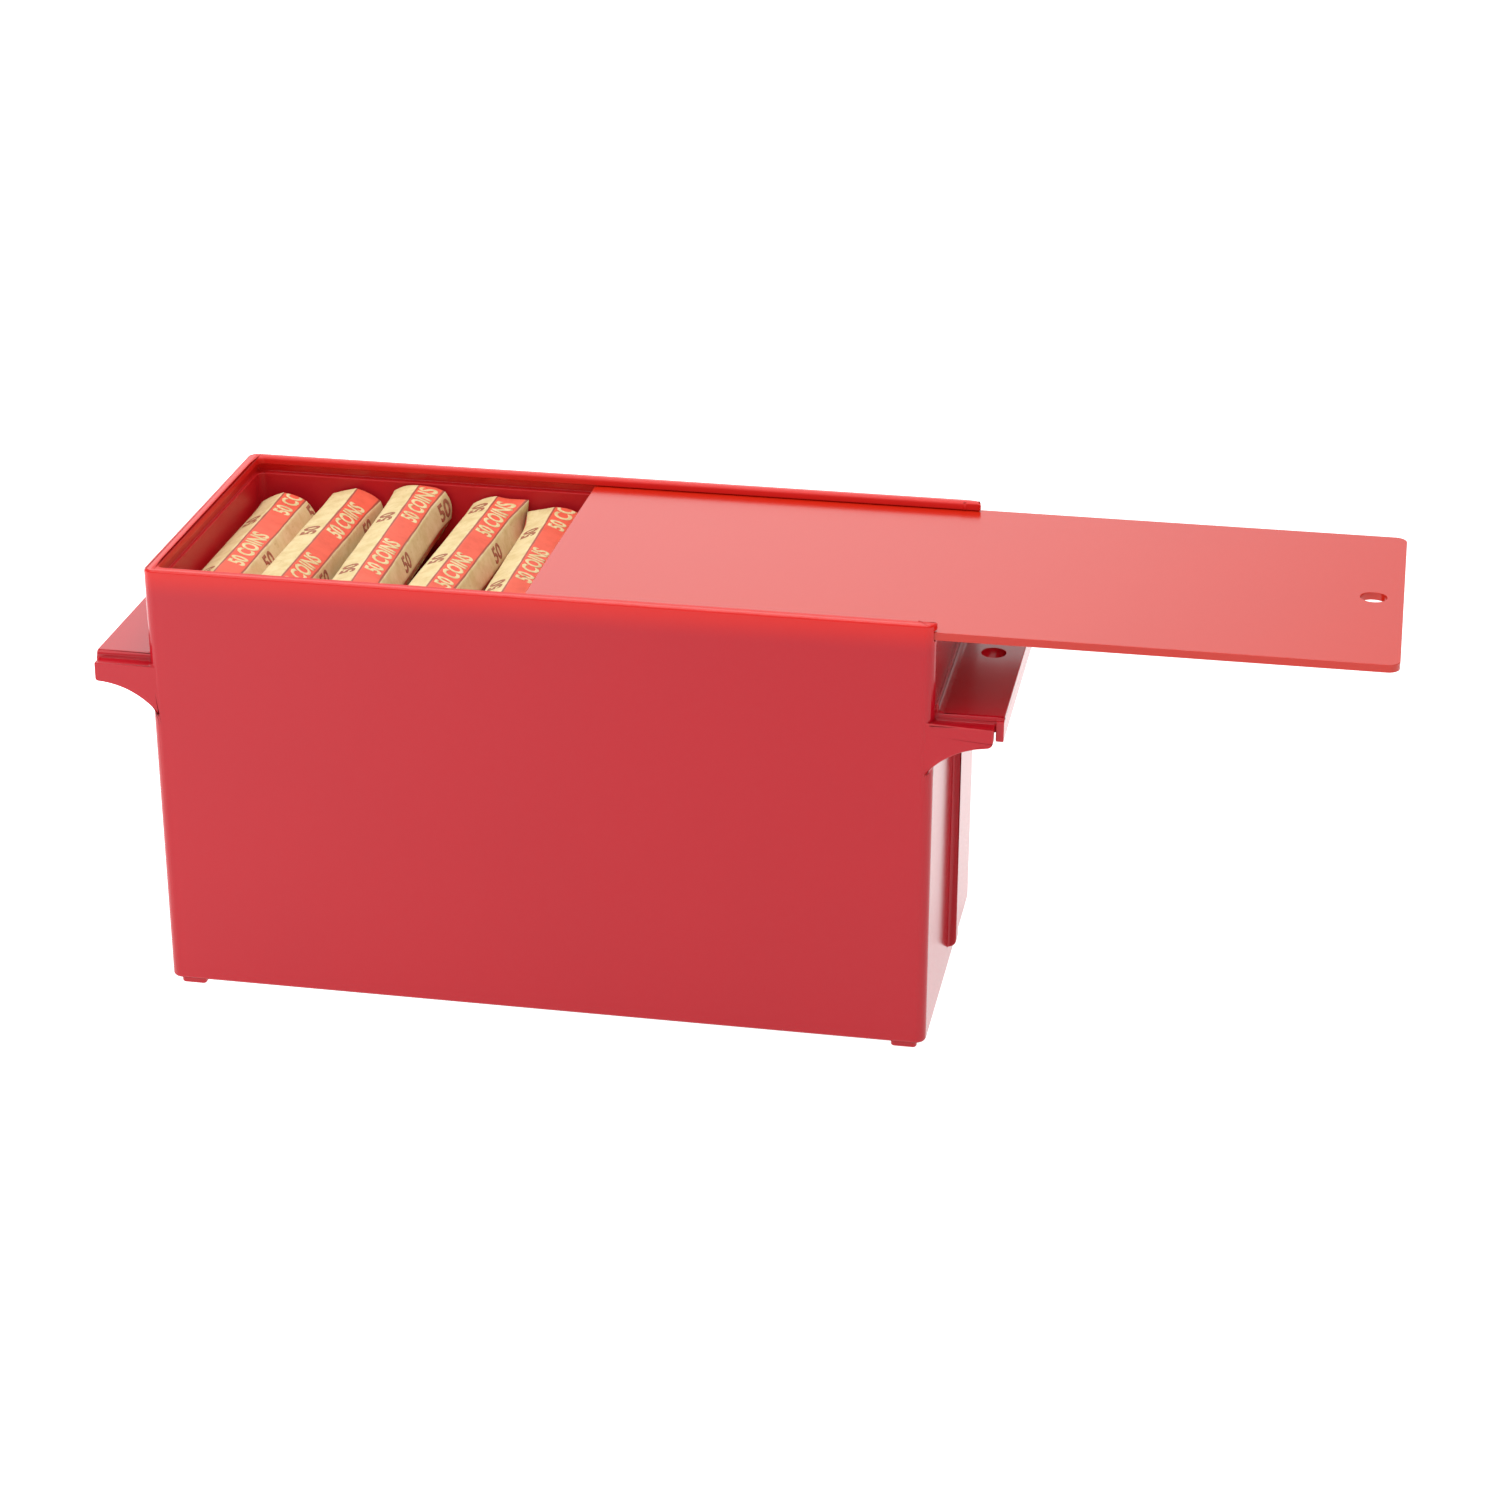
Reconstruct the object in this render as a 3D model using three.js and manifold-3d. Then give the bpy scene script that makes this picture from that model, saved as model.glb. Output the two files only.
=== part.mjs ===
// A moulded storage box for rolls of small coins, with a lid that slides in grooves along its top.
// Millimetres, +Z up. The lid draws out towards +X, and the front face looks along -Y.
// Heights are measured from the underside of the box; the feet reach below it.

import * as THREE from 'three';
import { mergeVertices } from 'three/addons/utils/BufferGeometryUtils.js';
import Module from 'manifold-3d';

const wasm = await Module();
wasm.setup();

// Box shell
const boxLength = 240.8;
const boxWidth = 108.8;
const rimHeight = 138;
const sideWall = 3.8;
const endWall = 3.8;
const floorThickness = 3;
const cornerRadius = 3.5;
const innerCornerRadius = 2.5;
const bottomRadius = 0.9;
const sideDraft = 1.2; // how far each long side leans in between the rim and the underside
const endDraft = 0.4;
const shellCurveSteps = 3;

// Feet
const footHeight = 2.6;
const footSize = 8;
const footRadius = 0.6;
const footInset = 3.2; // from the rim's outline to the foot
const footCurveSteps = 2;

// Lid, and the grooves that it runs in
const lidLength = 257.6;
const lidWidth = 104.9;
const lidThickness = 2.5;
const lidDrop = 2.6; // from the rim down to the lid's top face
const lidCornerRadius = 3.6;
const lidTravel = 113; // from closed to the half-open place at rest
const slideGap = 0.3;
const endGrooveDepth = 1;
const sealHoleRadius = 4;
const sealHoleFromEnd = 8.9;
const lidCurveSteps = 10;

// Handles: a flange along each end, with a gusset at each corner
const flangeTop = 106.4;
const flangeThickness = 2.4;
const flangeHalfWidth = 53.9;
const gussetThickness = 3;
const gussetTipBottom = 100.3;
const coveRadius = 25;
const coveRunOut = 0.1; // radians short of level where the cove meets the gusset's tip
const coveCurveSteps = 6;
const raisedTop = 108.7;
const raisedHalfWidth = 49.4;
const raisedEdgeRadius = 1.3;
const raisedCurveSteps = 2;
const raisedFillet = 1.8; // where the raised plate meets the end wall
const wallOverlap = 1; // how deep a handle, rib or foot sinks into the shell that it grows from
const leftReach = { gusset: 17.2, raised: 17.8, tipRadius: 1 };
const rightReach = { gusset: 17.6, raised: 20.3, tipRadius: 2 };
const lipThickness = 2.4;
const lipHalfWidth = 50.2;
const lipBottom = 101.2;
const lipTop = 107.8;
const flangeHoleRadius = 3.8;
const flangeHoleReach = 11.1;
const flangeBossRadius = 6.4;
const holeSides = 24;

// Rib on the right end
const ribWidth = 5;
const ribProud = 2.4;
const ribBottom = 8.2;
const ribCurveSteps = 4;

// Coin rolls: fifty coins in a paper tube
const coinRadius = 9.5;
const coinStackLength = 76;
const wrapperInnerRadius = 9.6;
const wrapperRadius = 9.8;
const wrapperLength = 86;
const rollSides = 16;
const wallPlay = 0.7; // between a roll and the end wall at the rim, so that it clears the draft lower down
const floorPlay = 0.3; // under the bottom row
const liftedPlay = 1.6; // under the top row, whose rolls lie a little askew
const rowPlay = 0.75; // between the rolls of the rows below
const joinedOverlap = 0.5; // the bottom rows are pressed together, into one piece
const firstRollX = endWall + wallPlay + wrapperRadius;

// The top row from left to right: the step from the roll before, the height of the roll's top,
// the place of its far end behind the middle of the box, and how far it is turned askew.
const topRow = [
  { step: 0, top: 127.7, farEnd: 45.6, askew: -0.4 },
  { step: 20.6, top: 129.4, farEnd: 48.6, askew: -0.9 },
  { step: 23.6, top: 132.2, farEnd: 49.1, askew: 1.5 },
  { step: 24, top: 129.8, farEnd: 49.1, askew: -1.5 },
  { step: 21.8, top: 127.8, farEnd: 48.1, askew: 0.8 },
  { step: 20.6, top: 129.2, farEnd: 47.5, askew: 0 },
  { step: 20.4, top: 128.2, farEnd: 46.5, askew: 0 },
  { step: 20.4, top: 130, farEnd: 48, askew: 0 },
  { step: 20.4, top: 128.6, farEnd: 47, askew: 0 },
  { step: 20.3, top: 129.6, farEnd: 46, askew: 0 },
  { step: 20.1, top: 128, farEnd: 47.5, askew: 0 },
];

// Heights and places worked out from the dimensions above
const lidTop = rimHeight - lidDrop;
const lidBottom = lidTop - lidThickness;
const ledgeHeight = lidBottom - slideGap;
const lipUnderside = lidTop + slideGap;
const innerHalfWidth = boxWidth / 2 - sideWall;
const grooveHalfWidth = lidWidth / 2 + slideGap;
const grooveEnd = -boxLength / 2 + endWall - endGrooveDepth;
const lidClosedLeft = grooveEnd + slideGap;
const lidRestCentre = lidClosedLeft + lidTravel + lidLength / 2;
const objectLeft = -boxLength / 2 - leftReach.raised;
const objectRight = lidRestCentre + lidLength / 2;
const longCut = 400; // longer than the object, for tools that cut right through

// Finishes
const boxFinish = { color: new THREE.Color(0.7, 0.05, 0.05), roughness: 0.35, metalness: 0 };
const lidFinish = { color: new THREE.Color(0.85, 0.16, 0.12), roughness: 0.25, metalness: 0 };
const paperFinish = { color: new THREE.Color(0.78, 0.6, 0.36), roughness: 0.8, metalness: 0 };
const coinFinish = { color: new THREE.Color(0.62, 0.3, 0.17), roughness: 0.35, metalness: 1 };

function toSolid(geometry) {
  const bare = new THREE.BufferGeometry();
  bare.setAttribute('position', geometry.getAttribute('position'));
  bare.setIndex(geometry.getIndex());
  const merged = mergeVertices(bare, 1e-4);
  return new wasm.Manifold(new wasm.Mesh({
    numProp: 3,
    vertProperties: new Float32Array(merged.getAttribute('position').array),
    triVerts: new Uint32Array(merged.getIndex().array),
  }));
}

function toGeometry(solid) {
  const mesh = solid.getMesh();
  const geometry = new THREE.BufferGeometry();
  geometry.setAttribute('position', new THREE.BufferAttribute(mesh.vertProperties, 3));
  geometry.setIndex(new THREE.BufferAttribute(mesh.triVerts, 1));
  geometry.computeVertexNormals();
  return geometry;
}

function makeMesh(name, geometry, finish) {
  const mesh = new THREE.Mesh(geometry, new THREE.MeshStandardMaterial(finish));
  mesh.name = name;
  return mesh;
}

// A block between two corners.
function block(low, high) {
  const size = high.map((value, axis) => value - low[axis]);
  const geometry = new THREE.BoxGeometry(...size);
  geometry.translate(...low.map((value, axis) => value + size[axis] / 2));
  return toSolid(geometry);
}

function roundedRectangle(width, height, radius) {
  const x = width / 2;
  const y = height / 2;
  const shape = new THREE.Shape();
  shape.moveTo(-x + radius, -y);
  shape.lineTo(x - radius, -y);
  shape.absarc(x - radius, -y + radius, radius, -Math.PI / 2, 0);
  shape.lineTo(x, y - radius);
  shape.absarc(x - radius, y - radius, radius, 0, Math.PI / 2);
  shape.lineTo(-x + radius, y);
  shape.absarc(-x + radius, y - radius, radius, Math.PI / 2, Math.PI);
  shape.lineTo(-x, -y + radius);
  shape.absarc(-x + radius, -y + radius, radius, Math.PI, Math.PI * 1.5);
  return shape;
}

// A shape drawn in X and Z, made as wide as given and centred on Y = 0.
function extrudeAcross(shape, width, curveSegments) {
  const geometry = new THREE.ExtrudeGeometry(shape, { depth: width, bevelEnabled: false, curveSegments });
  geometry.rotateX(Math.PI / 2);
  geometry.translate(0, width / 2, 0);
  return toSolid(geometry);
}

// The mould's draft: the shell narrows from the rim down to the underside.
function addDraft(geometry) {
  const position = geometry.getAttribute('position');
  for (let i = 0; i < position.count; i += 1) {
    const lean = 1 - position.getZ(i) / rimHeight;
    position.setX(i, position.getX(i) * (1 - (lean * endDraft) / (boxLength / 2)));
    position.setY(i, position.getY(i) * (1 - (lean * sideDraft) / (boxWidth / 2)));
  }
  return geometry;
}

function makeShell() {
  const outline = roundedRectangle(
    boxLength - 2 * bottomRadius,
    boxWidth - 2 * bottomRadius,
    cornerRadius - bottomRadius,
  );
  const outer = new THREE.ExtrudeGeometry(outline, {
    depth: rimHeight,
    bevelThickness: bottomRadius,
    bevelSize: bottomRadius,
    bevelSegments: shellCurveSteps,
    curveSegments: shellCurveSteps,
  });
  outer.translate(0, 0, bottomRadius);
  const inner = new THREE.ExtrudeGeometry(
    roundedRectangle(boxLength - 2 * endWall, 2 * innerHalfWidth, innerCornerRadius),
    { depth: rimHeight, bevelEnabled: false, curveSegments: shellCurveSteps },
  );
  inner.translate(0, 0, floorThickness);
  const aboveRim = block([-longCut, -longCut, rimHeight], [longCut, longCut, longCut]);
  return toSolid(addDraft(outer)).subtract(aboveRim).subtract(toSolid(addDraft(inner)));
}

// The lid's groove in three walls, and the gap over the right end wall where the lid comes out.
function lidWay() {
  const groove = block(
    [grooveEnd, -grooveHalfWidth, ledgeHeight],
    [longCut, grooveHalfWidth, lipUnderside],
  );
  const rightGap = block(
    [boxLength / 2 - endWall - wallOverlap, -innerHalfWidth, ledgeHeight],
    [longCut, innerHalfWidth, longCut],
  );
  return groove.add(rightGap);
}

// One handle, made for the +X end with its wall at X = 0.
function makeHandle(reach, hasLip) {
  // The gussets start where the shell's corner rounding does, so that they run on flush
  // from the long sides.
  const tip = reach.gusset;
  const tipCurve = tip - reach.tipRadius;
  const root = cornerRadius;
  const coveStart = Math.PI / 2 + Math.asin((tip + root) / coveRadius);
  const coveEnd = Math.PI / 2 + coveRunOut;
  const coveCentre = gussetTipBottom - coveRadius;
  const rootBottom = coveCentre + Math.sqrt(coveRadius ** 2 - (tip + root) ** 2);
  const gussetShape = new THREE.Shape();
  gussetShape.moveTo(-root, flangeTop);
  gussetShape.lineTo(-root, rootBottom);
  gussetShape.absarc(tip, coveCentre, coveRadius, coveStart, coveEnd, true);
  gussetShape.lineTo(tipCurve, gussetTipBottom);
  gussetShape.absarc(tipCurve, gussetTipBottom + reach.tipRadius, reach.tipRadius, -Math.PI / 2, 0);
  gussetShape.lineTo(tip, flangeTop);
  const flangeUnderside = flangeTop - flangeThickness;
  const fingerSpace = block(
    [-wallOverlap, -flangeHalfWidth + gussetThickness, 0],
    [longCut, flangeHalfWidth - gussetThickness, flangeUnderside],
  );
  let handle = extrudeAcross(gussetShape, 2 * flangeHalfWidth, coveCurveSteps).subtract(fingerSpace);

  const raisedHeight = raisedTop - flangeUnderside;
  const raisedShape = roundedRectangle(2 * raisedHalfWidth, 2 * raisedHeight, raisedEdgeRadius);
  const raised = new THREE.ExtrudeGeometry(raisedShape, {
    depth: reach.raised + wallOverlap,
    bevelEnabled: false,
    curveSegments: raisedCurveSteps,
  });
  raised.rotateX(Math.PI / 2);
  raised.rotateZ(Math.PI / 2);
  raised.translate(-wallOverlap, 0, flangeUnderside);
  const belowPlate = block([-longCut, -longCut, -longCut], [longCut, longCut, flangeUnderside]);
  handle = handle.add(toSolid(raised).subtract(belowPlate));

  const filletShape = new THREE.Shape();
  filletShape.moveTo(-wallOverlap, raisedTop - wallOverlap);
  filletShape.lineTo(raisedFillet, raisedTop - wallOverlap);
  filletShape.absarc(raisedFillet, raisedTop + raisedFillet, raisedFillet, -Math.PI / 2, -Math.PI, true);
  filletShape.lineTo(-wallOverlap, raisedTop + raisedFillet);
  const filletWidth = 2 * (raisedHalfWidth - raisedEdgeRadius);
  handle = handle.add(extrudeAcross(filletShape, filletWidth, raisedCurveSteps));

  if (hasLip) {
    const lip = block(
      [reach.raised - lipThickness, -lipHalfWidth, lipBottom],
      [reach.raised, lipHalfWidth, lipTop],
    );
    handle = handle.add(lip);
  }
  const recessHalfWidth = raisedHalfWidth - flangeThickness;
  const recess = block(
    [0, -recessHalfWidth, flangeUnderside - wallOverlap],
    [reach.raised - lipThickness, recessHalfWidth, raisedTop - flangeThickness],
  );
  handle = handle.subtract(recess);
  return hasLip ? addSealBoss(handle, flangeUnderside) : handle;
}

// An upright cylinder at the flange's seal hole, with its wall at X = 0.
function uprightCylinder(radius, bottom, top) {
  const geometry = new THREE.CylinderGeometry(radius, radius, top - bottom, holeSides);
  geometry.rotateX(Math.PI / 2);
  geometry.translate(flangeHoleReach, 0, (bottom + top) / 2);
  return toSolid(geometry);
}

// The seal hole goes through a boss that reaches down to the flange's underside.
function addSealBoss(handle, flangeUnderside) {
  const boss = uprightCylinder(flangeBossRadius, flangeUnderside, raisedTop - wallOverlap);
  const holeBottom = flangeUnderside - wallOverlap;
  const hole = uprightCylinder(flangeHoleRadius, holeBottom, raisedTop + wallOverlap);
  return handle.add(boss).subtract(hole);
}

function makeRib() {
  const shape = new THREE.Shape();
  shape.moveTo(-wallOverlap, ribBottom);
  shape.lineTo(0, ribBottom);
  shape.absarc(0, ribBottom + ribProud, ribProud, -Math.PI / 2, 0);
  shape.lineTo(ribProud, flangeTop - wallOverlap);
  shape.lineTo(-wallOverlap, flangeTop - wallOverlap);
  return extrudeAcross(shape, ribWidth, ribCurveSteps);
}

function makeFoot() {
  const size = footSize - 2 * footRadius;
  const foot = new THREE.ExtrudeGeometry(roundedRectangle(size, size, footRadius), {
    depth: footHeight,
    bevelThickness: footRadius,
    bevelSize: footRadius,
    bevelSegments: footCurveSteps,
    curveSegments: footCurveSteps,
  });
  foot.translate(0, 0, footRadius - footHeight);
  return toSolid(foot);
}

function makeBoxBody() {
  const end = boxLength / 2;
  let body = makeShell().subtract(lidWay());
  body = body.add(makeHandle(rightReach, true).translate([end, 0, 0]));
  body = body.add(makeHandle(leftReach, false).rotate([0, 0, 180]).translate([-end, 0, 0]));
  body = body.add(makeRib().translate([end, 0, 0]));
  const footX = end - footInset - footSize / 2;
  const footY = boxWidth / 2 - footInset - footSize / 2;
  for (const x of [-footX, footX]) {
    for (const y of [-footY, footY]) {
      body = body.add(makeFoot().translate([x, y, 0]));
    }
  }
  return makeMesh('box_body', toGeometry(body), boxFinish);
}

function makeLid() {
  const shape = roundedRectangle(lidLength, lidWidth, lidCornerRadius);
  const hole = new THREE.Path();
  hole.absarc(lidLength / 2 - sealHoleFromEnd, 0, sealHoleRadius, 0, Math.PI * 2);
  shape.holes.push(hole);
  const geometry = new THREE.ExtrudeGeometry(shape, {
    depth: lidThickness,
    bevelEnabled: false,
    curveSegments: lidCurveSteps,
  });
  const lid = makeMesh('sliding_lid', toGeometry(toSolid(geometry)), lidFinish);
  lid.position.set(lidRestCentre, 0, lidBottom);
  return lid;
}

// Places of the top row's rolls: X from the left end, Z of the roll's middle.
function placeTopRow() {
  let x = firstRollX;
  return topRow.map((roll) => {
    x += roll.step;
    return { x, z: roll.top - wrapperRadius };
  });
}

// A row between the rolls of the row above: one roll fewer, or one more where it has end rolls.
function placeRowBelow(above, play, hasEndRolls) {
  const xs = above.slice(1).map((roll, i) => (roll.x + above[i].x) / 2);
  if (hasEndRolls) {
    xs.unshift(firstRollX);
    xs.push(boxLength - firstRollX);
  }
  const reach = 2 * wrapperRadius + play;
  return xs.map((x) => {
    const near = above.filter((roll) => Math.abs(roll.x - x) < reach);
    const heights = near.map((roll) => roll.z - Math.sqrt(reach ** 2 - (roll.x - x) ** 2));
    return { x, z: Math.min(...heights) };
  });
}

function placeRoll(mesh, place, y) {
  mesh.position.set(place.x - boxLength / 2, y, place.z);
  return mesh;
}

function rollName(stem, index) {
  return stem + String(index + 1).padStart(2, '0');
}

// A paper tube with its fifty coins, as two pieces.
function addOpenRoll(group, place, roll, index) {
  const end = wrapperLength / 2;
  const wall = [
    new THREE.Vector2(wrapperInnerRadius, -end),
    new THREE.Vector2(wrapperRadius, -end),
    new THREE.Vector2(wrapperRadius, end),
    new THREE.Vector2(wrapperInnerRadius, end),
    new THREE.Vector2(wrapperInnerRadius, -end),
  ];
  const tube = new THREE.LatheGeometry(wall, rollSides);
  const coins = new THREE.CylinderGeometry(coinRadius, coinRadius, coinStackLength, rollSides);
  const pieces = [
    makeMesh(rollName('wrapper_', index), toGeometry(toSolid(tube)), paperFinish),
    makeMesh(rollName('coin_stack_', index), toGeometry(toSolid(coins)), coinFinish),
  ];
  for (const piece of pieces) {
    placeRoll(piece, place, roll.farEnd - end);
    piece.rotation.z = THREE.MathUtils.degToRad(roll.askew);
    group.add(piece);
  }
}

function solidRoll() {
  return toSolid(new THREE.CylinderGeometry(wrapperRadius, wrapperRadius, wrapperLength, rollSides));
}

function makeClosedRoll(name, place) {
  return placeRoll(makeMesh(name, toGeometry(solidRoll()), paperFinish), place, 0);
}

// Evenly spaced rows on the floor, joined into one piece where the rolls touch.
function makeBottomRolls() {
  const rowLengths = [11, 10, 11];
  const pitch = (boxLength - 2 * firstRollX) / (rowLengths[0] - 1);
  const rise = Math.sqrt((2 * wrapperRadius - joinedOverlap) ** 2 - (pitch / 2) ** 2);
  let rolls = null;
  rowLengths.forEach((count, row) => {
    for (let i = 0; i < count; i += 1) {
      const x = (i - (count - 1) / 2) * pitch;
      const z = floorThickness + floorPlay + wrapperRadius + row * rise;
      const roll = solidRoll().translate([x, 0, z]);
      rolls = rolls ? rolls.add(roll) : roll;
    }
  });
  return makeMesh('bottom_coin_rolls', toGeometry(rolls), paperFinish);
}

function addCoinRolls(group) {
  const first = placeTopRow();
  const second = placeRowBelow(first, liftedPlay, false);
  const third = placeRowBelow(second, rowPlay, true);
  const fourth = placeRowBelow(third, rowPlay, false);
  first.forEach((place, i) => addOpenRoll(group, place, topRow[i], i));
  [second, third, fourth].forEach((row, r) => {
    row.forEach((place, i) => group.add(makeClosedRoll(rollName(`row${r + 2}_roll_`, i), place)));
  });
  group.add(makeBottomRolls());
}

const coinRollBox = new THREE.Group();
coinRollBox.add(makeBoxBody());
coinRollBox.add(makeLid());
addCoinRolls(coinRollBox);
// The origin is the middle of the object's footprint, on the surface that the feet stand on.
coinRollBox.position.set(-(objectLeft + objectRight) / 2, 0, footHeight);

export default coinRollBox;
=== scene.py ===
# Coin roll storage box with a sliding lid: finishes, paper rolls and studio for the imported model.
import math

import bmesh
import bpy
from mathutils import Matrix, Vector, noise
from mathutils.bvhtree import BVHTree


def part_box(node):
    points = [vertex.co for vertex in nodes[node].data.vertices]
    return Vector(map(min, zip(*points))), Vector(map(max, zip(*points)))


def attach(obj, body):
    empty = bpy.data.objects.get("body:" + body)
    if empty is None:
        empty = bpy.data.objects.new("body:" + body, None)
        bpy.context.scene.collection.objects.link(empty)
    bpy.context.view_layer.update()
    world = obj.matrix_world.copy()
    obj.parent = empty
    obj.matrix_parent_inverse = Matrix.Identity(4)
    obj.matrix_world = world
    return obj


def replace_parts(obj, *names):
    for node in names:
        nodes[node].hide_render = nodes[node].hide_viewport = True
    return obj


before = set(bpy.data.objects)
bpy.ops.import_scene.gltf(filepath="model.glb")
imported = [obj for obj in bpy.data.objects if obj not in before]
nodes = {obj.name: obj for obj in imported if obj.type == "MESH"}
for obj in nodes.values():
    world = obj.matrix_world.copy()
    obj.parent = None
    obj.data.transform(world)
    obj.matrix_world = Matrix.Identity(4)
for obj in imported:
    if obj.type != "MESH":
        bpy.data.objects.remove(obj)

mm = 0.001
scene = bpy.context.scene
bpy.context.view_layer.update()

# Camera

cameraSetup = {
    "place": (0.18585, -1.0275, 0.5365),
    "yaw": 10.342,    # degrees, towards -X
    "pitch": 23.954,  # degrees below the horizon
    "roll": 0.197,
    "lens": 87.56,
    "sensor": 36,
    "clipStart": 0.05,
}


def addCamera(setup):
    yaw, pitch, roll = (math.radians(setup[key]) for key in ("yaw", "pitch", "roll"))
    forward = Vector((-math.sin(yaw) * math.cos(pitch), math.cos(yaw) * math.cos(pitch), -math.sin(pitch)))
    right = forward.cross(Vector((0, 0, 1))).normalized()
    up = right.cross(forward)
    tiltedRight = math.cos(roll) * right + math.sin(roll) * up
    tiltedUp = math.cos(roll) * up - math.sin(roll) * right
    axes = Matrix((tiltedRight, tiltedUp, -forward)).transposed()
    camera = bpy.data.objects.new("studioCamera", bpy.data.cameras.new("studioCamera"))
    camera.matrix_world = Matrix.Translation(setup["place"]) @ axes.to_4x4()
    camera.data.lens = setup["lens"]
    camera.data.sensor_width = setup["sensor"]
    camera.data.clip_start = setup["clipStart"]
    scene.collection.objects.link(camera)
    scene.camera = camera


addCamera(cameraSetup)
print("camera in place")

# Node helpers: a socket is given by its name, or by "i" and its number


def addNode(tree, kind, settings=None, **sockets):
    node = tree.nodes.new(kind)
    for key, value in (settings or {}).items():
        setattr(node, key, value)
    for key, value in sockets.items():
        byNumber = key[0] == "i" and key[1:].isdigit()
        socket = node.inputs[int(key[1:]) if byNumber else key]
        if isinstance(value, bpy.types.NodeSocket):
            tree.links.new(value, socket)
        else:
            socket.default_value = value
    return node


def math2(tree, operation, a, b=0.0, clamp=False):
    node = addNode(tree, "ShaderNodeMath", {"operation": operation, "use_clamp": clamp}, i0=a, i1=b)
    return node.outputs[0]


def remap(tree, value, low, high, toLow=0.0, toHigh=1.0):
    node = addNode(tree, "ShaderNodeMapRange", {"interpolation_type": "SMOOTHSTEP"}, Value=value)
    node.inputs["From Min"].default_value = low
    node.inputs["From Max"].default_value = high
    node.inputs["To Min"].default_value = toLow
    node.inputs["To Max"].default_value = toHigh
    return node.outputs[0]


# Sockets 6 and 7 and output 2 are the mix node's colour ones
def mixColor(tree, share, a, b):
    return addNode(tree, "ShaderNodeMix", {"data_type": "RGBA"}, i0=share, i6=a, i7=b).outputs[2]


def cloud(tree, place, scale, detail=3.0, roughness=0.5, stretch=(1, 1, 1)):
    if stretch != (1, 1, 1):
        place = addNode(tree, "ShaderNodeMapping", None, Vector=place, Scale=stretch).outputs[0]
    settings = {"Scale": scale, "Detail": detail, "Roughness": roughness}
    return addNode(tree, "ShaderNodeTexNoise", None, Vector=place, **settings).outputs["Fac"]


def objectPlace(tree):
    return addNode(tree, "ShaderNodeTexCoord").outputs["Object"]


def separate(tree, place):
    return addNode(tree, "ShaderNodeSeparateXYZ", None, Vector=place).outputs


def dotProduct(tree, a, b):
    return addNode(tree, "ShaderNodeVectorMath", {"operation": "DOT_PRODUCT"}, i0=a, i1=b).outputs["Value"]


def newGroup(name, inputs, outputs):
    group = bpy.data.node_groups.new(name, "ShaderNodeTree")
    for label, value in inputs.items():
        socket = group.interface.new_socket(label, in_out="INPUT", socket_type="NodeSocketFloat")
        socket.default_value = value
    for label in outputs:
        group.interface.new_socket(label, in_out="OUTPUT", socket_type="NodeSocketFloat")
    return group, group.nodes.new("NodeGroupInput").outputs, group.nodes.new("NodeGroupOutput").inputs


def useGroup(tree, group, **values):
    node = tree.nodes.new("ShaderNodeGroup")
    node.node_tree = group
    for key, value in values.items():
        node.inputs[key].default_value = value
    return node.outputs


# Moulded surface: slow waves from the mould, fine matt grain, and cloudy colour
def makeMouldedSkin():
    inputs = {"Grain": 2600.0, "Waves": 22.0}
    group, given, out = newGroup("mouldedSkin", inputs, ("Height", "Cloud", "Grain"))
    place = objectPlace(group)
    wave = cloud(group, place, given["Waves"], 1)
    grain = cloud(group, place, given["Grain"], 2)
    group.links.new(math2(group, "ADD", wave, math2(group, "MULTIPLY", grain, 0.012)), out["Height"])
    group.links.new(cloud(group, place, 14, 4, 0.6), out["Cloud"])
    group.links.new(grain, out["Grain"])
    return group


# Worn edges and painted edge highlights: a mask where a rounded normal leaves the face's own, broken up by
# noise
def makeEdgeWearAndHighlight():
    group, given, out = newGroup("edgeWearAndHighlight", {"Radius": 0.0008, "Amount": 1.0}, ("Mask",))
    rounded = addNode(group, "ShaderNodeBevel", {"samples": 4}, Radius=given["Radius"]).outputs["Normal"]
    flat = addNode(group, "ShaderNodeNewGeometry").outputs["True Normal"]
    edge = remap(group, dotProduct(group, rounded, flat), 0.99, 0.8)
    broken = remap(group, cloud(group, objectPlace(group), 160, 4, 0.7), 0.3, 0.6, 0.35, 1.0)
    mask = math2(group, "MULTIPLY", edge, broken)
    group.links.new(math2(group, "MULTIPLY", mask, given["Amount"]), out["Mask"])
    return group


# Hairline scuffs from things dragged over the surface
def makeScuffs():
    group, given, out = newGroup("scuffs", {"Amount": 1.0}, ("Mask",))
    place = objectPlace(group)
    lines = cloud(group, place, 90, 2, 0.5, (1.2, 14, 14))
    patches = remap(group, cloud(group, place, 12, 2, 0.5), 0.5, 0.72)
    mask = math2(group, "MULTIPLY", remap(group, lines, 0.62, 0.72), patches)
    group.links.new(math2(group, "MULTIPLY", mask, given["Amount"]), out["Mask"])
    return group


# Paper: short fibres, pulp clouds and dark flecks
def makePaperPulp():
    group, given, out = newGroup("paperPulp", {"Fibre": 900.0}, ("Height", "Pulp", "Fleck"))
    place = objectPlace(group)
    group.links.new(cloud(group, place, given["Fibre"], 4, 0.7), out["Height"])
    group.links.new(cloud(group, place, 210, 4, 0.65), out["Pulp"])
    specks = cloud(group, place, 1500, 2, 0.5, (1, 0.35, 1))
    group.links.new(remap(group, specks, 0.66, 0.74), out["Fleck"])
    return group


mouldedSkin = makeMouldedSkin()
edgeWearAndHighlight = makeEdgeWearAndHighlight()
scuffs = makeScuffs()
paperPulp = makePaperPulp()


def newMaterial(name):
    material = bpy.data.materials.new(name)
    material.use_nodes = True
    tree = material.node_tree
    return material, tree, tree.nodes["Principled BSDF"]


def bumpInto(tree, shader, height, strength, distance):
    node = addNode(tree, "ShaderNodeBump", None, Strength=strength, Distance=distance, Height=height)
    tree.links.new(node.outputs[0], shader.inputs["Normal"])


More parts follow.
